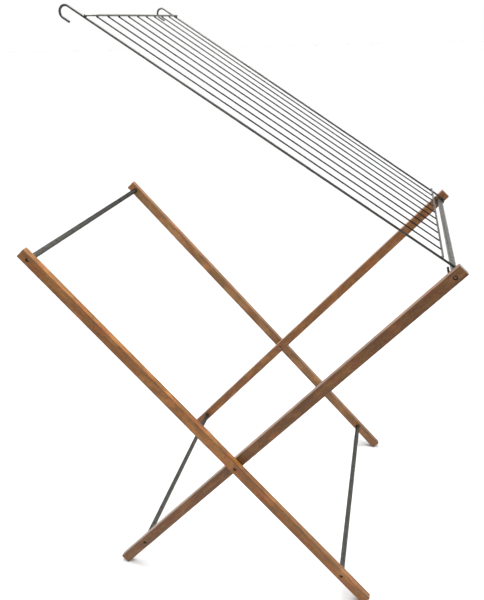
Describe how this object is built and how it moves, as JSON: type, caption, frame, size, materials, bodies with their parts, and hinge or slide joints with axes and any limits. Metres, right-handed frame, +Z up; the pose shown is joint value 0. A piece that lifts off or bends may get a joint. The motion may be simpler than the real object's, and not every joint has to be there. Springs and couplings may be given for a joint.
{
  "type": "clothes drying rack",
  "caption": "Folding free-standing drying rack: crossed wooden legs joined by steel tubes, with a hinged wire grid that hooks over the far tube.",
  "frame": {"origin": "on the floor, below the middle of the leg pivot, halfway between the front and back legs", "axes": "+Z up; +Y along the tubes, from the front legs to the back legs; +X towards the top tube that carries the grid's hinge"},
  "size_m": [0.9918, 0.7, 1.4216],
  "materials": {
    "leg_wood": "oiled reddish brown hardwood with the grain along the legs",
    "tube_steel": "dull galvanised steel tube",
    "wire_steel": "dark galvanised steel wire, welded where the wires cross",
    "fastener_steel": "zinc plated steel"
  },
  "bodies": {
    "outer_frame": {"outer_leg_front": "leg_wood", "outer_leg_back": "leg_wood", "outer_top_tube": "tube_steel", "outer_bottom_tube": "tube_steel", "outer_inserts": "fastener_steel", "outer_screws": "fastener_steel", "pivot_bolts": "fastener_steel", "pivot_washers": "fastener_steel", "pivot_nuts": "fastener_steel"},
    "inner_frame": {"inner_leg_front": "leg_wood", "inner_leg_back": "leg_wood", "inner_bottom_tube": "tube_steel", "inner_bottom_inserts": "fastener_steel", "inner_bottom_screws": "fastener_steel"},
    "hinge_tube": {"inner_top_tube": "tube_steel", "inner_top_inserts": "fastener_steel", "inner_top_screws": "fastener_steel"},
    "drying_grid": {"side_wire_front": "wire_steel", "side_wire_back": "wire_steel", "cross_wire_hinge_end": "wire_steel", "cross_wire_hook_end": "wire_steel", "long_wire_1": "wire_steel", "long_wire_2": "wire_steel", "long_wire_3": "wire_steel", "long_wire_4": "wire_steel", "long_wire_5": "wire_steel", "long_wire_6": "wire_steel", "long_wire_7": "wire_steel", "long_wire_8": "wire_steel", "long_wire_9": "wire_steel"}
  },
  "joints": [
    {"name": "leg_fold", "type": "hinge", "parent": "outer_frame", "child": "inner_frame", "pos_m": [0, 0, 0.37154], "axis": [0, -1, 0], "range_deg": [0, 81.5]},
    {"name": "tube_turn", "type": "hinge", "parent": "inner_frame", "child": "hinge_tube", "pos_m": [0.47044, 0, 0.88854], "axis": [0, -1, 0], "range_deg": [-66, 1]},
    {"name": "grid_swing", "type": "hinge", "parent": "hinge_tube", "child": "drying_grid", "pos_m": [0.47044, 0, 0.88854], "axis": [0, -1, 0], "range_deg": [-212.5, 33.2]}
  ],
  "couplings": [
    {"joint": "tube_turn", "follows": "leg_fold", "ratio": -0.8}
  ]
}
